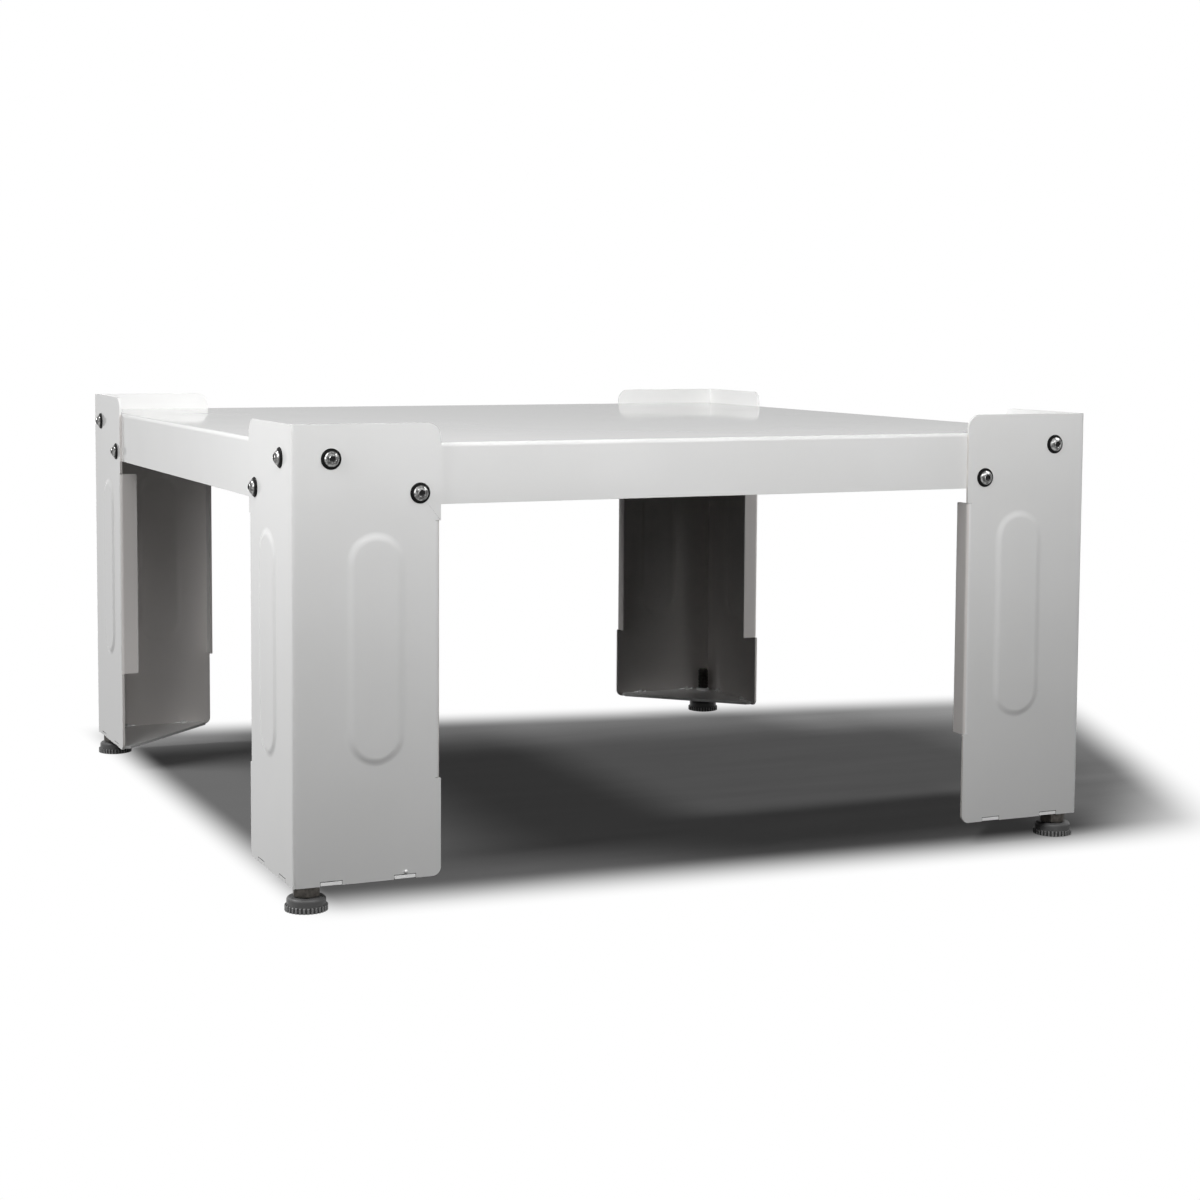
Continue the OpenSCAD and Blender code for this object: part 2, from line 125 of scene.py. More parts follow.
# Small lamps: a place, an aim, a width and height, and the only pieces that each lights
SMALL_LAMPS = {
    "guards": ((0.0, -0.2, 0.5), (0.0, 0.3, 0.317), (0.3, 0.1), pieces_at(["folded_leg"], CORNERS)),
    "lip": ((1.1, -0.3, 0.25), (0.3, 0.207, 0.16), (0.2, 0.2), pieces_at(LEG_PIECES, ["rear_right"])),
    "inside": ((-0.27, 0.05, 0.06), (-0.27, 0.31, 0.12), (0.1, 0.05), pieces_at(LEG_PIECES, ["rear_left"])),
    "fill": ((0.0, -2.5, 0.35), (0.0, -0.3, 0.16), (2.0, 0.5), ["deck_sheet", *pieces_at(LEG_PIECES, FRONT)]),
    "tabs": ((-0.2, -1.3, 0.05), (0.0, -0.31, 0.02), (0.3, 0.1), pieces_at(["welded_plate"], FRONT)),
    "screws": ((0.77, -0.45, 0.91), (0.0, -0.31, 0.3), (0.8, 0.5), pieces_at(["button_screws"], CORNERS)),
}
# Main lamps, turned to the middle of the stand: a place, and a width and height
MAIN_LAMPS = {
    "key": ((-1.30, 0.31, 1.36), (0.25, 0.40)),
    "front": ((-0.02, -0.73, 0.64), (1.0, 0.30)),
    "side": ((-0.66, -0.37, 0.60), (0.20, 0.64)),
}
MIDDLE = (0.0, 0.0, cad_high.z / 2)
# Way in which the floor's own lamp shines
FLOOR_LAMP_WAY = (0.5, 0.0, -0.866)
# Corners of the pale card behind the stand
CARD = ((-0.1, 3, 0), (6, 3, 0), (6, 3, 2.2), (-0.1, 3, 2.2))
WHITE = (1.0, 1.0, 1.0, 1.0)


def length(name, default, description):
    """A length property in metres."""
    return bpy.props.FloatProperty(
        name=name, description=description, default=default, min=0.0, unit="LENGTH", subtype="DISTANCE",
        precision=5)


def turn(name, default, description):
    """An angle property in radians."""
    return bpy.props.FloatProperty(
        name=name, description=description, default=default, unit="ROTATION", subtype="ANGLE", precision=4)


def amount(name, default, description, high=9000.0):
    """A plain number property."""
    return bpy.props.FloatProperty(
        name=name, description=description, default=default, min=0.0, max=high, precision=4)


def colour(name, default, description):
    """A colour property."""
    return bpy.props.FloatVectorProperty(
        name=name, description=description, default=default, size=3, min=0.0, max=1.0, subtype="COLOR")


class PedestalSheetSizes(bpy.types.PropertyGroup):
    """Sizes of the folded sheets and their welds"""

    sheet: length("Sheet", 0.002, "Thickness of the legs' sheet")
    edge: length("Edge rounding", 0.0003, "Width of the rounding along cut edges")
    edge_angle: turn("Edge angle", math.radians(38), "Folds sharper than this are cut edges")
    panel_edge: length("Panel rounding", 0.0016, "Width of the rounding along the panels' creases")
    panel_crease: turn("Panel crease", math.radians(20.56), "Angle of the pressed panels' creases")
    notch_top: length("Notch top", 0.0212, "Height of the top of the notches round the tabs")
    plate: length("Plate", 0.0025, "Thickness of the foot plates")
    tab_in_u: length("Inner tab", 0.026, "Inner tabs' distance from the corner")
    tab_out_u: length("Outer tab", 0.0775, "Outer tabs' distance from the corner")
    tack_w: length("Tack width", 0.0058, "Width of the weld tacks at the tabs")
    tack_h: length("Tack height", 0.0026, "Height of the weld tacks at the tabs")
    tack_in: length("Tack depth", 0.0009, "How far the tacks' middle is behind the sheet")
    tack_out: length("Tack front", 0.0011, "How far the tacks reach out from their middle")
    spot_r: length("Spot radius", 0.003, "Radius of the channels' spot welds")
    spot_h: length("Spot height", 0.0003, "Height of the channels' spot welds")
    spot_pitch: length("Spot pitch", 0.055, "Distance between the spot welds")
    nut_ring_r: length("Nut weld ring", 0.0054, "Radius of the ring of weld round each rail nut")
    nut_weld_r: length("Nut weld", 0.0009, "Radius of the weld fillet round each rail nut")


class PedestalFastenerSizes(bpy.types.PropertyGroup):
    """Sizes of the screws, washers and rail nuts"""

    screw_d: length("Screw", 0.006, "Diameter of the screws")
    screw_pitch: length("Screw pitch", 0.001, "Pitch of the screws' threads")
    screw_len: length("Screw length", 0.012, "Length of the screws under the head")
    head_d: length("Head", 0.0105, "Diameter of the button heads")
    head_h: length("Head height", 0.0033, "Height of the button heads")
    head_rim: length("Head rim", 0.0006, "Height of the heads' straight rim")
    socket_af: length("Socket", 0.004, "Width across the flats of the sockets")
    socket_depth: length("Socket depth", 0.002, "Depth of the sockets")
    washer_d: length("Washer", 0.014, "Diameter of the washers")
    washer_bore: length("Washer bore", 0.0064, "Bore of the washers")
    washer_t: length("Washer thickness", 0.0012, "Thickness of the washers")
    washer_cone: length("Washer cone", 0.0016, "Width of the washers' sloping rim")
    in_u: length("Inner screw", 0.0268, "Inner screws' distance from the corner")
    in_drop: length("Inner drop", 0.0093, "Inner screws' distance below the deck's top")
    out_u: length("Outer screw", 0.0883, "Outer screws' distance from the corner")
    out_drop: length("Outer drop", 0.033, "Outer screws' distance below the deck's top")


class PedestalFootSizes(bpy.types.PropertyGroup):
    """Sizes of the screw feet"""

    stud_d: length("Stud", 0.010, "Diameter of the studs")
    stud_pitch: length("Stud pitch", 0.0015, "Pitch of the studs' threads")
    stud_head_d: length("Stud head", 0.014, "Diameter of the studs' round heads")
    stud_head_h: length("Stud head height", 0.004, "Height of the studs' round heads")
    bore_d: length("Stud bore", 0.0061, "Diameter of the blind bore for the sole")
    bore_h: length("Bore depth", 0.0025, "Depth of the blind bore for the sole")
    spigot_d: length("Spigot", 0.006, "Diameter of the soles' spigots")
    groove_pitch: length("Sole grooves", 0.002, "Distance between the grooves under the soles")
    groove_h: length("Groove depth", 0.0004, "Depth of the grooves under the soles")
    rim_top: length("Rim top", 0.0046, "Height of the ribbed rims of the bases")
    plain_wear: amount("Plain wear", 0.3, "How worn the bases are beside their ribs", 1.0)


class PedestalFinishes(bpy.types.PropertyGroup):
    """Colours and gloss of the finishes"""

    coat: colour("Coat", (0.86, 0.86, 0.855), "Colour of the white powder coat")
    coat_deep: colour("Coat variation", (0.835, 0.835, 0.828), "Slightly thinner places of the coat")
    coat_rough: amount("Coat roughness", 0.06, "Roughness of the powder coat", 1.0)
    coat_gloss: amount("Coat gloss", 0.22, "Strength of the powder coat's reflection", 1.0)
    # painted shade: darker, warmer colour for the legs' inner faces below the deck, standing in for their
    # shade
    coat_inner_shade: colour("Inner coat", (0.80, 0.77, 0.75), "Colour of the legs' inner sides")
    inner_rough: amount("Inner roughness", 0.34, "Roughness added on the legs' inner sides", 1.0)
    # painted shade: near-black colour painted into the gaps round the tabs, standing in for the shadow in
    # those gaps
    gap: colour("Gaps", (0.01, 0.01, 0.01), "Colour of the dust in the gaps round the tabs")
    steel: colour("Screws", (0.36, 0.36, 0.355), "Colour of the polished screws")
    # painted shade: dark end of the screws' painted light level, for sockets, the ring round them and rims
    steel_shade: colour("Sockets", (0.02, 0.02, 0.02), "Colour of the screws' dark places")
    washer: colour("Washers", (0.006, 0.006, 0.006), "Colour of the black washers")
    zinc: colour("Zinc", (0.085, 0.078, 0.07), "Colour of the dull zinc plating")
    zinc_deep: colour("Zinc variation", (0.045, 0.041, 0.037), "Darker places of the plating")
    # partly painted highlight: the pale rib colour stands partly for wear and partly for light on the rib
    # tips
    plastic: colour("Foot base", (0.36, 0.36, 0.36), "Colour of the worn ribs of the moulded bases")
    # painted shade: dark colour of the grooves between the ribs
    plastic_groove_shade: colour("Foot base grooves", (0.03, 0.03, 0.03), "Colour of the grooves between the ribs")
    rubber: colour("Sole", (0.03, 0.03, 0.03), "Colour of the rubber soles")


class PedestalStage(bpy.types.PropertyGroup):
    """Camera, lamps and floor"""

    camera: bpy.props.FloatVectorProperty(
        name="Camera", description="Place of the camera", default=(-0.7238, -1.7169, 0.3915), size=3,
        unit="LENGTH", subtype="TRANSLATION")
    yaw: turn("Yaw", 0.4098, "Turn of the camera from +Y towards +X")
    pitch: turn("Pitch", 0.0790, "Tilt of the camera below the horizon")
    roll: turn("Roll", 0.0050, "Roll of the camera")
    focal: amount("Focal length", 2254.77, "Focal length in pixels of the photograph")
    centre_x: amount("Centre X", 571.03, "Column of the camera's axis", 1200.0)
    centre_y: amount("Centre Y", 498.91, "Row of the camera's axis", 1200.0)
    picture: amount("Picture", 1200.0, "Width and height of the picture in pixels")
    floor_size: length("Floor", 40.0, "Width of the floor")
    key_power: amount("Key", 13.5, "Watts of the lamp on the left")
    front_power: amount("Front", 3.75, "Watts of the lamp in front")
    fill_power: amount("Fill", 3.6, "Watts of the far lamp for the front")
    side_power: amount("Side", 1.9, "Watts of the lamp beside the front left leg")
    guards_power: amount("Guards", 1.5, "Watts of the lamp for the legs' guards")
    inside_power: amount("Inside", 0.045, "Watts of the lamp inside the rear left leg")
    lip_power: amount("Lip", 3.8, "Watts of the lamp for the rear right leg's lip")
    tabs_power: amount("Tabs", 2.2, "Watts of the lamp for the front plates' tabs")
    screws_power: amount("Screws", 6.0, "Watts of the lamp for the screws")
    floor_light: amount("Floor lamp", 3.7, "Strength of the lamp for the floor alone", 100.0)
    floor_angle: turn("Floor lamp width", math.radians(27), "Width of the lamp that lights the floor")
    air: amount("Air", 0.037, "Strength of the light from all around")
    card: amount("Card", 0.62, "Brightness of the card behind the stand, which the gloss alone shows")
    # painted shadow: colour of the grey part painted on the floor under the stand
    painted_shadow_grey: amount("Floor grey", 0.115, "Colour of the floor's grey part", 1.0)
    # painted light: glow that lifts the painted shadow's darkest places
    painted_shadow_lift: amount("Floor glow", 0.030, "Least brightness of the floor's grey part", 1.0)


def settings(name):
    """The scene's property group of that name."""
    return getattr(bpy.context.scene, f"pedestal_{name}")


def add(name, data):
    """A new object in the scene."""
    obj = bpy.data.objects.new(name, data)
    bpy.context.scene.collection.objects.link(obj)
    return obj


def skin(grid, ring=False):
    """Closed skin over a grid of points [row, column], whose columns run once round.

    The first and last rows are closed by a pole at their middle, or joined to each other if ring is set.
    The faces are turned so that the volume, the sum of p0 . (p1 x p2) / 6, is positive.
    """
    rows, columns = grid.shape[:2]
    points = grid.reshape(-1, 3)
    row = np.arange(rows if ring else rows - 1)[:, None]
    start, below = row * columns, (row + 1) % rows * columns
    here = np.arange(columns)
    there = (here + 1) % columns
    quads = np.stack([start + here, start + there, below + there, below + here], axis=-1)
    faces = quads.reshape(-1, 4).tolist()
    if not ring:
        pole = np.full(columns, len(points))
        end = (rows - 1) * columns
        points = np.concatenate([points, grid[[0, -1]].mean(1)])
        faces += np.stack([pole, there, here], axis=-1).tolist()
        faces += np.stack([pole + 1, here + end, there + end], axis=-1).tolist()
    corner = np.array([face[:3] for face in faces])
    volume = np.einsum("ij,ij->i", points[corner[:, 0]],
                       np.cross(points[corner[:, 1]], points[corner[:, 2]])).sum()
    if volume < 0:
        faces = [face[::-1] for face in faces]
    return points, faces


def turned(rows, columns, ring=False):
    """Skin of a surface of revolution about z: (r cos a, r sin a, z), with the angle a going once round.

    Each row is (r, z), and its radius r is one value or one for each column.
    """
    angle = np.arange(columns) * TURN / columns
    radius = np.array([r * np.ones(columns) for r, z in rows])
    height = np.array([z * np.ones(columns) for r, z in rows])
    return skin(np.stack([radius * np.cos(angle), radius * np.sin(angle), height], axis=-1), ring)


def thread(root, crest, pitch, low, high, columns):
    """Rows of a right-hand thread between two heights.

    The radius goes from root to crest and back as a clipped triangle wave of z / pitch - a / turn.
    It is drawn down to the root within one pitch of each end.
    """
    height = np.linspace(low, high, max(8, int(round((high - low) / pitch * 8))))
    angle = np.arange(columns) * TURN / columns
    phase = (height[:, None] / pitch - angle[None, :] / TURN) % 1.0
    wave = np.clip((np.abs(2 * phase - 1) - 0.1) / 0.75, 0, 1)
    fade = np.clip(np.minimum(height - low, high - height) / pitch, 0, 1)
    return list(zip(root + (crest - root) * wave * fade[:, None], height))


def hexagon(across, columns):
    """Radius of a hexagon for each column: half the width over the cosine of the angle from its flat."""
    angle = np.arange(columns) * TURN / columns
    step = TURN / HEX_SIDES
    return across / 2 / np.cos((angle + step / 2) % step - step / 2)


def placed(points, origin, x_axis, y_axis, z_axis):
    """Points moved from their own frame to origin + x * x_axis + y * y_axis + z * z_axis."""
    return np.asarray(origin) + points @ np.array([x_axis, y_axis, z_axis], float)


def dressed(name, mesh, slot, body):
    """The smooth object of a mesh, in the finish of its slot, riding on a body."""
    mesh.polygons.foreach_set("use_smooth", np.ones(len(mesh.polygons), bool))
    mesh.materials.clear()
    mesh.materials.append(detailed(slot))
    obj = add(name, mesh)
    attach(obj, body)
    return obj


def piece(name, skins, slot="white_coat", body=STAND):
    """A new mesh piece from several (points, faces) skins, riding on a body."""
    starts = np.cumsum([0] + [len(points) for points, faces in skins]).tolist()
    faces = [[k + start for k in face] for (points, own), start in zip(skins, starts) for face in own]
    mesh = bpy.data.meshes.new(name)
    mesh.from_pydata(np.concatenate([points for points, own in skins]).tolist(), [], faces)
    obj = dressed(name, mesh, slot, body)
    mesh.set_sharp_from_angle(angle=SHARP_ANGLE)
    mesh.update()
    return obj


def merged_copy(node, name, slot="white_coat", body=STAND):
    """A copy of a CAD node with its doubles merged and its flat faces whole."""
    shape = bmesh.new()
    shape.from_mesh(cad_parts[node].data)
    bmesh.ops.remove_doubles(shape, verts=shape.verts, dist=1e-6)
    bmesh.ops.dissolve_limit(shape, angle_limit=math.radians(0.4), verts=shape.verts, edges=shape.edges)
    mesh = bpy.data.meshes.new(name)
    shape.to_mesh(mesh)
    shape.free()
    obj = dressed(name, mesh, slot, body)
    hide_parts(node)
    return obj


def read_vectors(items, name):
    """One vector for each of a mesh's items, as an array."""
    values = np.empty(3 * len(items), np.float32)
    items.foreach_get(name, values)
    return values.reshape(-1, 3)


def give_values(obj, name, values, domain="POINT"):
    """A value for each point, edge or face of a piece, under a name."""
    layer = obj.data.attributes.new(name, "FLOAT", domain)
    layer.data.foreach_set("value", np.asarray(values, np.float32))


def mark_creases(obj, angle):
    """Gives the edges whose fold is near an angle a bevel weight of 1."""
    shape = bmesh.new()
    shape.from_mesh(obj.data)
    folds = np.array([e.calc_face_angle(0.0) for e in shape.edges])
    shape.free()
    give_values(obj, "bevel_weight_edge", np.abs(folds - angle) < CREASE_MARGIN, "EDGE")


def round_edges(obj, width, angle, segments=3):
    """Rounds a piece's edges that are sharper than angle, and keeps flat faces flat."""
    bevel = obj.modifiers.new("rounded_edges", "BEVEL")
    bevel.width = width
    bevel.segments = segments
    bevel.limit_method = "ANGLE"
    bevel.angle_limit = angle
    bevel.use_clamp_overlap = True
    flat = obj.modifiers.new("flat_faces", "WEIGHTED_NORMAL")
    flat.mode = "FACE_AREA"
    flat.weight = 100
    flat.keep_sharp = True


def leg_faces(name):
    """The two faces of a leg: each its outer corner on the floor, the way along it and the way in."""
    side_x, side_y = CORNERS[name]
    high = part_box("top_deck")[1]
    sheet = settings("sheets").sheet
    corner = np.array([side_x * (high.x + sheet), side_y * (high.y + sheet), 0.0])
    along_x, along_y = np.array([-side_x, 0.0, 0.0]), np.array([0.0, -side_y, 0.0])
    return (corner, along_x, along_y), (corner, along_y, along_x)


def deck_top():
    """Height of the deck's top."""
    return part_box("top_deck")[1].z


def screw_frames(name):
    """Each screw of a corner as (origin on the outer face, x, y, inward), a right-handed set."""
    sizes = settings("fasteners")
    found = []
    for corner, along, inward in leg_faces(name):
        for u, drop in ((sizes.in_u, sizes.in_drop), (sizes.out_u, sizes.out_drop)):
            origin = corner + along * u + UP * (deck_top() - drop)
            found.append((origin, np.cross(UP, inward), UP, inward))
    return found


def at_screws(name, points, faces):
    """One skin at each screw of a corner."""
    return [(placed(points, *screw), faces) for screw in screw_frames(name)]


def foot_centre(name):
    """Centre of a foot on the floor."""
    low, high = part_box(f"foot_sole_{name}")
    return np.array([(low.x + high.x) / 2, (low.y + high.y) / 2, 0.0])


def mark_inner(leg, name):
    """Marks the faces of a leg that look into the stand."""
    normals = read_vectors(leg.data.polygons, "normal")
    marked = np.zeros(len(normals), bool)
    for corner, along, inward in leg_faces(name):
        marked |= normals @ inward > 0.5
    give_values(leg, "inner", marked, "FACE")


class Nodes:
    """Builds the nodes of one tree."""

    def __init__(self, tree):
        self.tree = tree

    def put(self, socket, source):
        """Links a source to a socket, or sets the socket's plain value."""
        if hasattr(source, "is_output"):
            self.tree.links.new(source, socket)
        else:
            socket.default_value = source

    def node(self, kind, links=None, **values):
        """A node with its values set and its inputs linked or set."""
        made = self.tree.nodes.new(kind)
        for key, value in values.items():
            setattr(made, key, value)
        for socket, source in (links or {}).items():
            self.put(made.inputs[socket], source)
        return made

    def result(self, operation, *factors):
        """Result of an arithmetic operation."""
        return self.node("ShaderNodeMath", dict(enumerate(factors)), operation=operation).outputs["Value"]

    def sum(self, first, factor, second):
        """first * factor + second."""
        return self.result("MULTIPLY_ADD", first, factor, second)

    def product(self, *factors):
        """The product of several values."""
        whole = factors[0]
        for factor in factors[1:]:
            whole = self.sum(whole, factor, 0.0)
        return whole

    def spread(self, source, low, high, out_low, out_high, shape="LINEAR"):
        """A value mapped from one range to another."""
        return self.node("ShaderNodeMapRange", {
            "Value": source, "From Min": low, "From Max": high,
            "To Min": out_low, "To Max": out_high}, interpolation_type=shape).outputs["Result"]

    def step(self, source, start, end):
        """Smooth step of a value from 0 at start to 1 at end."""
        return self.spread(source, start, end, 0, 1, "SMOOTHSTEP")

    def seen(self):
        """1 on the rays of the camera, gloss and glass, and 0 on those that only light."""
        path = self.node("ShaderNodeLightPath").outputs
        return self.result("MAXIMUM", self.result("MAXIMUM", path["Is Camera Ray"], path["Is Glossy Ray"]),
                           path["Is Transmission Ray"])


class Finish(Nodes):
    """Builds one material: a shader and the nodes that feed it."""

    def __init__(self, name):
        self.material = bpy.data.materials.new(name)
        self.material.use_nodes = True
        super().__init__(self.material.node_tree)
        self.shader = self.tree.nodes["Principled BSDF"]
        self.place = self.node("ShaderNodeTexCoord").outputs["Object"]

    def noise(self, scale, detail=2.0, roughness=0.5, stretch=None):
        """Noise on the piece's own coordinates, scale in cycles per metre."""
        where = self.place
        if stretch:
            where = self.node("ShaderNodeMapping", {"Vector": where, "Scale": stretch}).outputs["Vector"]
        return self.node("ShaderNodeTexNoise", {
            "Vector": where, "Scale": scale, "Detail": detail, "Roughness": roughness}).outputs["Fac"]

    def value(self, name):
        """The value that the piece carries under that name."""
        return self.node("ShaderNodeAttribute", attribute_name=name).outputs["Fac"]

    def blend(self, factor, first, second):
        """A colour between two, by a factor; each is a plain colour or a link."""
        mix = self.node("ShaderNodeMix", {0: factor}, data_type="RGBA")
        for socket, source in ((6, first), (7, second)):
            self.put(mix.inputs[socket], source if hasattr(source, "is_output") else (*source, 1.0))
        return mix.outputs[2]

    def bump(self, height, distance, strength=1.0, under=None):
        """A bump of a height field, on top of another bump."""
        made = self.node("ShaderNodeBump", {"Height": height, "Distance": distance, "Strength": strength})
        if under is not None:
            self.put(made.inputs["Normal"], under)
        return made.outputs["Normal"]

    def feed(self, socket, source):
        """Links a source to the shader, or sets its plain value."""
        self.put(self.shader.inputs[socket], source)

    def texture(self, rough, low, high, grain, depth, strength=0.5):
        """Roughness from one noise, and a bump from another."""
        self.feed("Roughness", self.spread(rough, 0.3, 0.7, low, high))
        self.feed("Normal", self.bump(grain, depth, strength))

    def surface(self, output):
        """The material with that output as its surface in place of the shader."""
        self.tree.nodes.remove(self.shader)
        self.put(self.tree.nodes["Material Output"].inputs["Surface"], output)
        return self.material


def make_white_coat(coat, looks):
    """White powder coat: a fine orange peel, faint clouds in its colour and gloss, and slow waves.

    It is dull on the faces marked as inner, below the deck's top, and darker in colour there as painted
    shade; and it is painted near black, as painted shade, in the gaps round the foot plates' tabs, which are
    the places inside the legs' sheet: the greater of |x| and |y| lies between its two sides, the lesser is
    away from the fold and the free edge, and z is below the notches' top.
    """
    sheets = settings("sheets")
    clouds = coat.noise(9.0, 3.0)
    peel = coat.noise(240.0, 1.0, 0.4)
    waves = coat.noise(5.0, 1.0)
    size = coat.node("ShaderNodeVectorMath", {0: coat.place}, operation="ABSOLUTE")
    x, y, z = coat.node("ShaderNodeSeparateXYZ", {"Vector": size.outputs["Vector"]}).outputs
    far = coat.result("MAXIMUM", x, y)
    near = coat.result("MINIMUM", x, y)
    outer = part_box("top_deck")[1].x + sheets.sheet
    # painted shade: this mask paints the gaps round the tabs near black, standing in for their shadow
    gap = coat.product(coat.step(far, outer - 0.0019, outer - 0.0017),
                       coat.step(far, outer - 0.00002, outer - 0.00008),
                       coat.step(near, outer - 0.008, outer - 0.010),
                       coat.step(near, outer - 0.089, outer - 0.087),
                       coat.step(z, sheets.notch_top + 0.0003, sheets.notch_top + 0.0001))
    # painted shade: on inner faces below the deck the coat is duller, reflects less, and takes the darker
    # inner colour as painted shade
    dull = coat.product(coat.value("inner"), coat.step(z, deck_top() - 0.0005, deck_top() - 0.0015))
    white = coat.blend(coat.spread(clouds, 0.35, 0.65, 0, 1), looks.coat, looks.coat_deep)
    white = coat.blend(dull, white, looks.coat_inner_shade)
    coat.feed("Base Color", coat.blend(gap, white, looks.gap))
    coat.feed("Specular IOR Level", coat.sum(dull, -0.8 * looks.coat_gloss, looks.coat_gloss))
    rough = coat.spread(clouds, 0.3, 0.7, looks.coat_rough - 0.02, looks.coat_rough + 0.02)
    coat.feed("Roughness", coat.sum(dull, looks.inner_rough, rough))
    coat.feed("Normal", coat.bump(peel, 0.000004, 0.5, coat.bump(waves, 0.0003, 0.5)))


def make_polished_steel(steel, looks):
    """Polished steel of the screws, with faint turning marks, painted dark in the sockets, round their mouths
    and at the heads' rims as painted shade and painted dark reflection.
    """
    marks = steel.noise(900.0, 3.0, 0.6)
    stains = steel.spread(steel.noise(560.0, 2.0), 0.38, 0.62, 0.35, 1.2)
    # painted shade and painted dark reflection from the rows' painted light level, times random stains
    steel.feed("Base Color", steel.blend(steel.product(steel.value("polish"), stains),
                                         looks.steel_shade, looks.steel))
    steel.feed("Metallic", 1.0)
    steel.texture(marks, 0.10, 0.20, marks, 0.00001, 0.4)


def make_black_washer(black, looks):
    """Black oxide of the washers, nearly matte, a little worn."""
    grain = black.noise(1500.0, 4.0, 0.6)
    wear = black.spread(black.noise(260.0, 3.0), 0.58, 0.75, 0, 1)
    black.feed("Base Color", black.blend(wear, looks.washer, tuple(3 * c for c in looks.washer)))
    black.feed("Specular IOR Level", 0.08)
    black.texture(grain, 0.42, 0.6, grain, 0.00002)


def make_zinc_steel(zinc, looks):
    """Dull zinc plating of the nuts and studs, blotched and slightly yellow."""
    blotches = zinc.noise(320.0, 4.0, 0.6)
    grain = zinc.noise(2400.0, 3.0)
    zinc.feed("Base Color", zinc.blend(zinc.spread(blotches, 0.35, 0.65, 0, 1), looks.zinc, looks.zinc_deep))
    zinc.feed("Metallic", 0.85)
    zinc.texture(blotches, 0.38, 0.55, grain, 0.00003)


def make_dark_plastic(plastic, looks):
    """Moulded dark plastic of the bases, with scuffs, its rib tips paler, partly wear and partly painted
    highlight, and its grooves darker as painted shade.
    """
    grain = plastic.noise(1300.0, 4.0, 0.6)
    scuffs = plastic.noise(180.0, 5.0, 0.7)
    # the wear value runs from the grooves, painted dark as painted shade, to the rib tips, paler partly from
    # wear and partly as painted highlight
    worn = plastic.sum(scuffs, 0.16, plastic.value("wear"))
    plastic.feed("Base Color", plastic.blend(worn, looks.plastic_groove_shade, looks.plastic))
    plastic.feed("Specular IOR Level", 0.25)
    plastic.texture(grain, 0.32, 0.46, grain, 0.00003)


def make_rubber_sole(rubber, looks):
    """Matte rubber of the soles, with dust in its pores."""
    pores = rubber.noise(2000.0, 4.0, 0.7)
    dust = rubber.spread(pores, 0.55, 0.75, 0, 1)
    rubber.feed("Base Color", rubber.blend(dust, looks.rubber, tuple(2.2 * c for c in looks.rubber)))
    rubber.texture(pores, 0.75, 0.9, pores, 0.00006, 0.7)


FINISHES = {
    "white_coat": make_white_coat,
    "polished_steel": make_polished_steel,
    "black_washer": make_black_washer,
    "zinc_steel": make_zinc_steel,
    "dark_plastic": make_dark_plastic,
    "rubber_sole": make_rubber_sole,
}


def detailed(slot):
    """The detailed material of a slot, made the first time that it is asked for."""
    name = f"detailed_{slot}"
    if name not in bpy.data.materials:
        FINISHES[slot](Finish(name), settings("finishes"))
    return bpy.data.materials[name]


def screw_skin():
    """Button head screw about z: the outer face at z = 0, the head outside and the shank inside.

    The rows run from the middle of the socket over the dome r = sqrt(R^2 - (R - d)^2) with d the depth
    below its top, round the rim, under the head and down the thread to the chamfered end. Each row has a
    painted light level between 0 and 1, which is given back for each point: low values paint the socket,
    a ring round its mouth and the rim dark, as painted shade and painted dark reflection.
    """
    sizes = settings("fasteners")
    columns = 48
    top = -sizes.washer_t - sizes.head_h
    seat = -sizes.washer_t
    head_r, shank_r = sizes.head_d / 2, sizes.screw_d / 2
    rise = sizes.head_h - sizes.head_rim
    dome_r = (head_r ** 2 + rise ** 2) / (2 * rise)
    socket = hexagon(sizes.socket_af, columns)
    mouth_r = socket.max() + 0.0003
    bottom = top + sizes.socket_depth

    def dome_z(r):
        return top + dome_r - np.sqrt(dome_r ** 2 - r ** 2)

    rows = [(0.25 * socket, bottom + 0.0004), (0.9 * socket, bottom + 0.0001), (socket, bottom),
            (socket, top + 0.00045), (0.5 * (socket + mouth_r), top + 0.0002),
            (mouth_r, dome_z(mouth_r) + 0.00002)]
    # painted light levels of the socket and dome rows: low values are painted shade and painted dark
    # reflection
    polish = [0.0, 0.0, 0.05, 0.5, 1.0, 0.9]
    for r in np.linspace(mouth_r + 0.0001, head_r - 0.0001, 10):
        rows.append((r, dome_z(r)))
    polish += [0.2, 0.3, 0.45, 0.5, 0.55, 0.7, 0.9, 1.0, 0.8, 0.4]
    soft = 0.00012
    rows += [(head_r, seat - sizes.head_rim + soft), (head_r, seat - soft),
             (head_r - soft, seat), (shank_r + 0.0003, seat),
             (shank_r, seat + 0.0003)]
    end = seat + sizes.screw_len
    root = shank_r - 0.61 * sizes.screw_pitch
    rows += thread(root, shank_r, sizes.screw_pitch, seat + 0.0014, end - 0.0006, columns)
    rows.append((root - 0.0003, end))
    polish += [0.1, 0.1] + [0.6] * (len(rows) - len(polish) - 2)
    points, faces = turned(rows, columns)
    return points, faces, np.append(np.repeat(polish, columns), (polish[0], polish[-1]))


def washer_skin():
    """Washer about z, outside the leg's face: a rectangle carried round, its outer end sloping."""
    sizes = settings("fasteners")
    outer, inner = sizes.washer_d / 2, sizes.washer_bore / 2
    low, cone, soft = -sizes.washer_t, sizes.washer_cone, 0.0002
    section = [(inner, low + soft), (inner + soft, low), (outer - cone, low),
               (outer - 0.4 * cone, low + soft), (outer, 0.25 * low), (outer - soft, 0.0),
               (inner + soft, 0.0), (inner, -soft)]
    return turned(section, 64, ring=True)


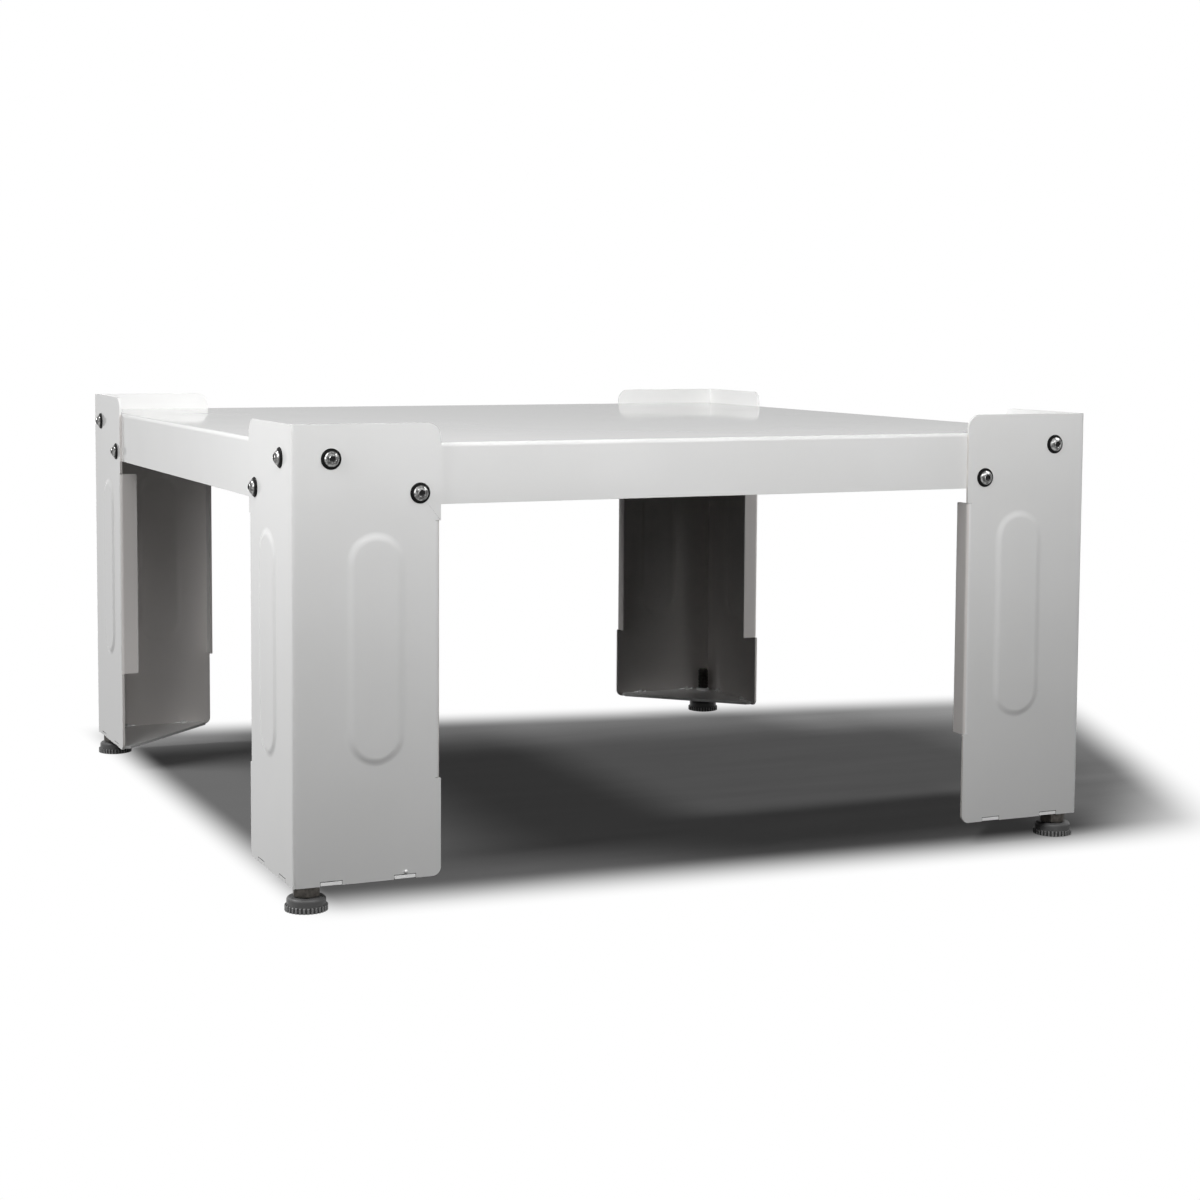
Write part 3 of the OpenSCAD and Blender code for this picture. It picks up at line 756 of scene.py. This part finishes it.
def stud_skin():
    """Threaded stud about z, from the blind bore over the round head to the thread's chamfer."""
    sizes = settings("feet")
    columns = 48
    low, high = (corner.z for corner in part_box("foot_stud_front_left"))
    bore_r, head_r, crest = sizes.bore_d / 2, sizes.stud_head_d / 2, sizes.stud_d / 2
    root = crest - 0.61 * sizes.stud_pitch
    head_z = low + sizes.stud_head_h
    rows = [(0.5 * bore_r, low + sizes.bore_h), (bore_r, low + sizes.bore_h),
            (bore_r, low), (head_r, low), (head_r, head_z),
            (crest, head_z)]
    rows += thread(root, crest, sizes.stud_pitch, head_z + 0.0004, high - 0.0008, columns)
    rows += [(root - 0.0001, high - 0.0002), (root - 0.0004, high)]
    return turned(rows, columns)


def sole_skin():
    """Rubber sole about z: flat grooved rings underneath, a chamfered rim, and the spigot on top."""
    sizes = settings("feet")
    low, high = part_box("foot_sole_front_left")
    outer = (high.x - low.x) / 2
    top = high.z - 0.0025
    rows = []
    radius = 0.5 * sizes.groove_pitch
    while radius < outer - sizes.groove_pitch:
        quarter = 0.25 * sizes.groove_pitch
        rows += [(radius, 0.0), (radius + quarter, 0.0),
                 (radius + 1.4 * quarter, sizes.groove_h), (radius + 2.6 * quarter, sizes.groove_h)]
        radius += sizes.groove_pitch
    spigot = sizes.spigot_d / 2
    rows += [(outer - 0.0004, 0.0), (outer, 0.0004), (outer, top - 0.0001), (outer - 0.0001, top),
             (spigot, top), (spigot, high.z - 0.0002), (spigot - 0.0002, high.z)]
    return turned(rows, 64)


def tack_skin(seed, width, height):
    """Weld tack about the origin, half under the surface it sits on.

    An oval blob: the radius of each ring is width / 2 * sin(s)^0.8, and its level height * cos(s), with
    ripples of a few per cent from summed sines of the angle.
    """
    draw = np.random.default_rng(seed)
    columns = 20
    angle = np.arange(columns) * TURN / columns
    polar = np.linspace(0.12, math.pi - 0.12, 11)[:, None]
    ripple = 1 + 0.06 * np.sin(3 * angle + draw.uniform(0, TURN)) + 0.04 * np.sin(
        5 * angle + 4 * polar + draw.uniform(0, TURN))
    radius = width / 2 * np.sin(polar) ** 0.8 * ripple
    grid = np.stack([radius * np.cos(angle), radius * np.sin(angle) * 0.8,
                     height * np.cos(polar) * np.ones(columns)], axis=-1)
    return skin(grid)


class PedestalPiece:
    """What the operators of this file share."""

    bl_options = {"REGISTER", "UNDO"}


class PEDESTAL_OT_deck(PedestalPiece, bpy.types.Operator):
    """Make the deck with rounded sheet edges and its white coat"""

    bl_idname = "pedestal.deck"
    bl_label = "Deck"

    def execute(self, context):
        sheets = settings("sheets")
        deck = merged_copy("top_deck", "deck_sheet")
        round_edges(deck, sheets.edge, sheets.edge_angle)
        return {"FINISHED"}


class PEDESTAL_OT_channels(PedestalPiece, bpy.types.Operator):
    """Make the stiffening channels under the deck, with their spot welds"""

    bl_idname = "pedestal.channels"
    bl_label = "Deck channels"

    def execute(self, context):
        sheets = settings("sheets")
        for number, node in enumerate(CHANNELS):
            channel = merged_copy(node, node.replace("deck_channel", "stiffener"))
            round_edges(channel, 0.7 * sheets.edge, sheets.edge_angle)
            low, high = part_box(node)
            middle = (low.y + high.y) / 2
            flange = (high.y - low.y - FLANGE_W) / 2
            count = int((high.x - low.x - 2 * SPOT_END) / sheets.spot_pitch) + 1
            along = (np.arange(count) - (count - 1) / 2) * sheets.spot_pitch
            spots = []
            for side in (-1, 1):
                for place, x in enumerate(along):
                    points, faces = tack_skin(100 * number + 10 * place + side + 1, 2 * sheets.spot_r,
                                              sheets.spot_h)
                    origin = (x, middle + side * flange, high.z - CHANNEL_T)
                    spots.append((points + np.array(origin), faces))
            piece(f"spot_welds_{node.split('_')[-1]}", spots)
        return {"FINISHED"}


class PEDESTAL_OT_legs(PedestalPiece, bpy.types.Operator):
    """Make the folded legs, with soft creases round their pressed panels"""

    bl_idname = "pedestal.legs"
    bl_label = "Legs"

    def execute(self, context):
        sheets = settings("sheets")
        for name in CORNERS:
            leg = merged_copy(f"leg_{name}", f"folded_leg_{name}")
            mark_creases(leg, sheets.panel_crease)
            mark_inner(leg, name)
            crease = leg.modifiers.new("soft_creases", "BEVEL")
            crease.width = sheets.panel_edge
            crease.segments = 4
            crease.limit_method = "WEIGHT"
            crease.use_clamp_overlap = False
            round_edges(leg, sheets.edge, sheets.edge_angle)
        return {"FINISHED"}


class PEDESTAL_OT_foot_plates(PedestalPiece, bpy.types.Operator):
    """Make the foot plates and the weld tacks at their tabs"""

    bl_idname = "pedestal.foot_plates"
    bl_label = "Foot plates"

    def execute(self, context):
        sheets = settings("sheets")
        for number, name in enumerate(CORNERS):
            plate = merged_copy(f"foot_plate_{name}", f"welded_plate_{name}")
            round_edges(plate, 0.7 * sheets.edge, sheets.edge_angle)
            plate_top = UP * (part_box(f"foot_plate_{name}")[0].z + sheets.plate)
            tacks = []
            for face, (corner, along, inward) in enumerate(leg_faces(name)):
                for place, u in enumerate((sheets.tab_in_u, sheets.tab_out_u)):
                    points, faces = tack_skin(1000 + 40 * number + 10 * face + place, sheets.tack_w,
                                              sheets.tack_h)
                    points[:, 2] = np.maximum(points[:, 2], -sheets.tack_out)
                    origin = corner + along * u + inward * (sheets.sheet + sheets.tack_in) + plate_top
                    tacks.append((placed(points, origin, along, np.cross(inward, along), inward), faces))
            if name == "front_left":
                corner, along, inward = leg_faces(name)[0]
                u, z, width, height = SPATTER
                points, faces = tack_skin(77, width, height)
                origin = corner + along * u + UP * z
                tacks.append((placed(points, origin, along, np.cross(inward, along), inward), faces))
            piece(f"weld_tacks_{name}", tacks)
        return {"FINISHED"}


class PEDESTAL_OT_face_screws(PedestalPiece, bpy.types.Operator):
    """Make the button head screws with sockets and threads"""

    bl_idname = "pedestal.face_screws"
    bl_label = "Face screws"

    def execute(self, context):
        points, faces, polish = screw_skin()
        draw = np.random.default_rng(7)
        for name in CORNERS:
            skins = []
            for origin, across, up, inward in screw_frames(name):
                angle = draw.uniform(0, TURN / HEX_SIDES)
                x_axis = math.cos(angle) * across + math.sin(angle) * up
                y_axis = np.cross(inward, x_axis)
                skins.append((placed(points, origin, x_axis, y_axis, inward), faces))
            screws = piece(f"button_screws_{name}", skins, "polished_steel")
            give_values(screws, "polish", np.tile(polish, len(skins)))
            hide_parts(f"face_screws_{name}")
        return {"FINISHED"}


class PEDESTAL_OT_screw_washers(PedestalPiece, bpy.types.Operator):
    """Make the black washers under the screw heads"""

    bl_idname = "pedestal.screw_washers"
    bl_label = "Screw washers"

    def execute(self, context):
        points, faces = washer_skin()
        for name in CORNERS:
            washers = piece(f"black_washers_{name}", at_screws(name, points, faces), "black_washer")
            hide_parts(f"screw_washers_{name}")
        return {"FINISHED"}


class PEDESTAL_OT_rail_nuts(PedestalPiece, bpy.types.Operator):
    """Make the nuts inside the rails, each with its weld fillet"""

    bl_idname = "pedestal.rail_nuts"
    bl_label = "Rail nuts"

    def execute(self, context):
        sheets = settings("sheets")
        fillet_r = sheets.nut_weld_r
        angle = np.arange(10) * TURN / 10
        rows = zip(sheets.nut_ring_r + fillet_r * np.cos(angle), 2 * sheets.sheet + fillet_r * np.sin(angle))
        points, faces = turned(list(rows), 36, ring=True)
        for name in CORNERS:
            nuts = merged_copy(f"rail_nuts_{name}", f"weld_nuts_{name}", "zinc_steel")
            round_edges(nuts, 0.0002, math.radians(25), 2)
            piece(f"nut_welds_{name}", at_screws(name, points, faces))
        return {"FINISHED"}


class PEDESTAL_OT_lock_nuts(PedestalPiece, bpy.types.Operator):
    """Make the lock nuts with softened corners"""

    bl_idname = "pedestal.lock_nuts"
    bl_label = "Lock nuts"

    def execute(self, context):
        for name in CORNERS:
            nut = merged_copy(f"lock_nut_{name}", f"hex_lock_nut_{name}", "zinc_steel")
            round_edges(nut, 0.0003, math.radians(25), 2)
        return {"FINISHED"}


class PEDESTAL_OT_foot_studs(PedestalPiece, bpy.types.Operator):
    """Make the threaded studs of the feet"""

    bl_idname = "pedestal.foot_studs"
    bl_label = "Foot studs"

    def execute(self, context):
        points, faces = stud_skin()
        for name in CORNERS:
            stud = piece(f"threaded_stud_{name}", [(points + foot_centre(name), faces)], "zinc_steel",
                         f"foot_{name}")
            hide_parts(f"foot_stud_{name}")
        return {"FINISHED"}


class PEDESTAL_OT_foot_bases(PedestalPiece, bpy.types.Operator):
    """Make the moulded bases with their ribbed rims"""

    bl_idname = "pedestal.foot_bases"
    bl_label = "Foot bases"

    def execute(self, context):
        sizes = settings("feet")
        for name in CORNERS:
            base = merged_copy(f"foot_base_{name}", f"ribbed_base_{name}", "dark_plastic", f"foot_{name}")
            places = read_vectors(base.data.vertices, "co").astype(float)
            radius = np.hypot(*(places - foot_centre(name))[:, :2].T)
            # the wear value runs from the grooves, painted dark as painted shade, to the rib tips, paler
            # partly from wear and partly as painted highlight
            ribs = (radius > radius.max() - 0.0008) & (places[:, 2] < sizes.rim_top + 0.0001)
            wear = np.interp(radius, (radius.max() - 0.0006, radius.max()), (0.0, 1.0))
            give_values(base, "wear", np.where(ribs, wear, sizes.plain_wear))
            round_edges(base, 0.00012, math.radians(25), 2)
        return {"FINISHED"}


class PEDESTAL_OT_foot_soles(PedestalPiece, bpy.types.Operator):
    """Make the grooved rubber soles"""

    bl_idname = "pedestal.foot_soles"
    bl_label = "Foot soles"

    def execute(self, context):
        points, faces = sole_skin()
        for name in CORNERS:
            sole = piece(f"grooved_sole_{name}", [(points + foot_centre(name), faces)], "rubber_sole",
                         f"sole_{name}")
            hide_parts(f"foot_sole_{name}")
        return {"FINISHED"}


def new_lamp(name, kind, place, way, power):
    """A lamp of a kind at a place, which shines a way."""
    data = bpy.data.lights.new(name, kind)
    data.energy = power
    lamp = add(name, data)
    lamp.location = place
    lamp.rotation_mode = "QUATERNION"
    lamp.rotation_quaternion = Vector(way).to_track_quat("-Z", "Y")
    return lamp


def area_lamp(name, place, aim, size, power):
    """A rectangular area lamp at a place, turned to a point."""
    lamp = new_lamp(name, "AREA", place, Vector(aim) - Vector(place), power)
    lamp.data.shape = "RECTANGLE"
    lamp.data.size, lamp.data.size_y = size
    return lamp


def light_only(lamp, objects, included):
    """Lets a lamp light those objects alone, or everything but them."""
    group = bpy.data.collections.new(f"{lamp.name}_receivers")
    for obj in objects:
        group.objects.link(obj)
    lamp.light_linking.receiver_collection = group
    for link in group.collection_objects:
        link.light_linking.link_state = "INCLUDE" if included else "EXCLUDE"


def make_floor_finish(name):
    """Plain white floor with a soft-edged grey part under the stand, a painted shadow, in which the lamp's
    own shadow of the stand also falls, and paler painted glows in it. It lights nothing.

    Each edge of the grey part is a smooth step of x, y or a sum of both, and the steps are multiplied.
    """
    stage = settings("stage")
    floor = Finish(name)

    def edge(along, start, end):
        """Smooth step from 0 at start to 1 at end of the place along a direction."""
        place = floor.node("ShaderNodeVectorMath", {0: floor.place, 1: along}, operation="DOT_PRODUCT")
        return floor.step(place.outputs["Value"], start, end)

    # painted shadow: mask of the grey part under the stand
    part = floor.product(*(edge(*values) for values in PAINTED_SHADOW_EDGES))
    glow = stage.painted_shadow_lift
    # painted light: paler glowing places within the painted shadow, seen by the camera and in gloss
    for strength, first, second in PAINTED_GLOW_PATCHES:
        glow = floor.sum(floor.product(edge(*first), edge(*second)), strength, glow)
    streaks = floor.spread(floor.noise(40.0, 3.0, 0.6, (0.12, 1, 1)), 0.3, 0.7, 0.94, 1.06)
    glow = floor.sum(floor.product(glow, streaks), part, floor.sum(part, -1.0, 1.0))
    shown = floor.node("ShaderNodeBsdfDiffuse", {
        "Color": floor.blend(part, (0.0, 0.0, 0.0), (stage.painted_shadow_grey,) * 3)})
    shine = floor.node("ShaderNodeEmission", {"Color": WHITE, "Strength": floor.product(glow, floor.seen())})
    both = floor.node("ShaderNodeAddShader", {0: shown.outputs["BSDF"], 1: shine.outputs["Emission"]})
    unseen = floor.node("ShaderNodeBsdfDiffuse", {"Color": (0.02, 0.02, 0.02, 1.0)})
    path = floor.node("ShaderNodeLightPath").outputs
    mix = floor.node("ShaderNodeMixShader", {0: path["Is Diffuse Ray"], 1: both.outputs["Shader"],
                                             2: unseen.outputs["BSDF"]})
    return floor.surface(mix.outputs["Shader"])


def make_card_finish(name, brightness):
    """Even pale grey of the card, which gives light of its own."""
    card = Finish(name)
    glow = card.node("ShaderNodeEmission", {"Color": WHITE, "Strength": brightness})
    return card.surface(glow.outputs["Emission"])


def flat_piece(name, corners, material):
    """A flat object with four corners."""
    mesh = bpy.data.meshes.new(name)
    mesh.from_pydata(corners, [], [(0, 1, 2, 3)])
    mesh.materials.append(material)
    return add(name, mesh)


class PEDESTAL_OT_stage(PedestalPiece, bpy.types.Operator):
    """Set up the floor, the card, the lamps, the air and the camera"""

    bl_idname = "pedestal.stage"
    bl_label = "Stage"

    def floor(self, stage):
        """A floor under the feet, white with a painted shadow under the stand."""
        half = stage.floor_size / 2
        corners = [(-half, -half, 0), (half, -half, 0), (half, half, 0), (-half, half, 0)]
        floor = flat_piece("floor", corners, make_floor_finish("floor"))
        return floor

    def card(self, stage):
        """A pale card behind the stand, seen only in the gloss."""
        card = flat_piece("card", CARD, make_card_finish("card", stage.card))
        card.visible_camera = card.visible_diffuse = card.visible_shadow = card.visible_transmission = False

    def lamps(self, stage, floor):
        """The small lamps, the main ones, which don't light the floor, and the floor's own."""
        for name, (place, aim, size, lit) in SMALL_LAMPS.items():
            lamp = area_lamp(f"{name}_lamp", place, aim, size, getattr(stage, f"{name}_power"))
            lamp.visible_camera = False
            light_only(lamp, [bpy.data.objects[found] for found in lit], True)
        for name, (place, size) in MAIN_LAMPS.items():
            lamp = area_lamp(name, place, MIDDLE, size, getattr(stage, f"{name}_power"))
            light_only(lamp, [floor], False)
        sun = new_lamp("floor_lamp", "SUN", (0.0, 0.0, 0.0), FLOOR_LAMP_WAY, stage.floor_light)
        sun.data.angle = stage.floor_angle
        light_only(sun, [floor], True)

    def air(self, stage):
        """White where the camera, gloss and glass see it, and faint as light."""
        world = bpy.data.worlds.new("air")
        world.use_nodes = True
        air = Nodes(world.node_tree)
        back = air.tree.nodes["Background"].inputs
        air.put(back["Color"], WHITE)
        air.put(back["Strength"], air.spread(air.seen(), 0, 1, stage.air, 1))
        bpy.context.scene.world = world

    def camera(self, stage):
        """Camera at the photograph's place, angle and framing."""
        turned_to = (Matrix.Rotation(-stage.yaw, 3, "Z") @ Matrix.Rotation(TURN / 4 - stage.pitch, 3, "X")
                     @ Matrix.Rotation(stage.roll, 3, "Z"))
        data = bpy.data.cameras.new("camera")
        data.sensor_width = 36.0
        data.lens = stage.focal / stage.picture * data.sensor_width
        data.shift_x = 0.5 - stage.centre_x / stage.picture
        data.shift_y = stage.centre_y / stage.picture - 0.5
        data.clip_start, data.clip_end = 0.01, 100.0
        camera = add("camera", data)
        camera.matrix_world = Matrix.LocRotScale(Vector(stage.camera), turned_to, None)
        bpy.context.scene.camera = camera

    def execute(self, context):
        stage = settings("stage")
        self.lamps(stage, self.floor(stage))
        self.card(stage)
        self.air(stage)
        self.camera(stage)
        context.scene.view_settings.view_transform = "Standard"
        return {"FINISHED"}


GROUPS = {
    "sheets": PedestalSheetSizes,
    "fasteners": PedestalFastenerSizes,
    "feet": PedestalFootSizes,
    "finishes": PedestalFinishes,
    "stage": PedestalStage,
}
OPERATORS = (
    PEDESTAL_OT_deck, PEDESTAL_OT_channels, PEDESTAL_OT_legs, PEDESTAL_OT_foot_plates,
    PEDESTAL_OT_face_screws, PEDESTAL_OT_screw_washers, PEDESTAL_OT_rail_nuts, PEDESTAL_OT_lock_nuts,
    PEDESTAL_OT_foot_studs, PEDESTAL_OT_foot_bases, PEDESTAL_OT_foot_soles, PEDESTAL_OT_stage,
)


class PEDESTAL_PT_sidebar(bpy.types.Panel):
    """Lists the pedestal's pieces and its stage"""

    bl_idname = "PEDESTAL_PT_sidebar"
    bl_label = "Laundry pedestal"
    bl_space_type = "VIEW_3D"
    bl_region_type = "UI"
    bl_category = "Pedestal"

    def draw(self, context):
        for operator in OPERATORS:
            self.layout.operator(operator.bl_idname)
        for name, group in GROUPS.items():
            box = self.layout.box()
            box.label(text=group.__doc__)
            for prop in group.__annotations__:
                box.prop(settings(name), prop)


CLASSES = (*GROUPS.values(), *OPERATORS, PEDESTAL_PT_sidebar)


def register():
    """Registers the classes and puts the settings on the scene."""
    for own in CLASSES:
        bpy.utils.register_class(own)
    for name, group in GROUPS.items():
        setattr(bpy.types.Scene, f"pedestal_{name}", bpy.props.PointerProperty(type=group))


def unregister():
    """Takes the settings off the scene and unregisters the classes."""
    for name in GROUPS:
        delattr(bpy.types.Scene, f"pedestal_{name}")
    for own in reversed(CLASSES):
        bpy.utils.unregister_class(own)


def main():
    """Makes every piece and the stage."""
    register()
    for operator in OPERATORS:
        group, name = operator.bl_idname.split(".")
        getattr(getattr(bpy.ops, group), name)()


if __name__ == "__main__":
    main()
